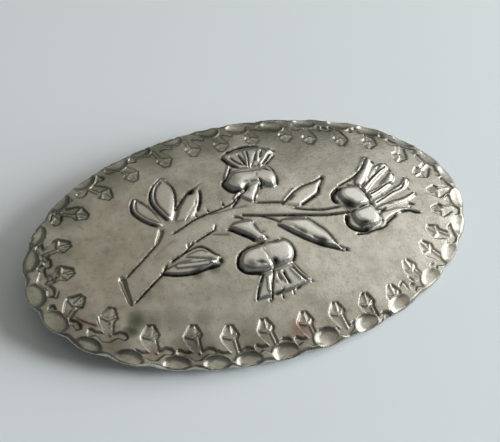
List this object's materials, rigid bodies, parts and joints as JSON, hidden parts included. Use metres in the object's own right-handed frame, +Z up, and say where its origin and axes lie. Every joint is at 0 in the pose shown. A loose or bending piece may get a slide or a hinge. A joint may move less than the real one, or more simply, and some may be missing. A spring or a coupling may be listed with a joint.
{
  "type": "flower brooch",
  "caption": "Oval domed sheet-metal brooch with a raised thistle spray, a stamped leaf and hollow border, and a plain pin fitting on its back.",
  "frame": {"origin": "on the surface it lies on, under the middle of its bounding box", "axes": "+X along the brooch's long way towards the side where the spray's thistles point, +Y across it towards the top of the spray, +Z up from the surface"},
  "size_m": [0.0636, 0.0376, 0.0063],
  "materials": {
    "silver_sheet": "Worn satin silver, hand-planished, with dark tarnish in its grooves",
    "silver_fitting": "Plain satin silver wire and block"
  },
  "bodies": {
    "root": {"plate": "silver_sheet", "pin": "silver_fitting"}
  },
  "joints": []
}
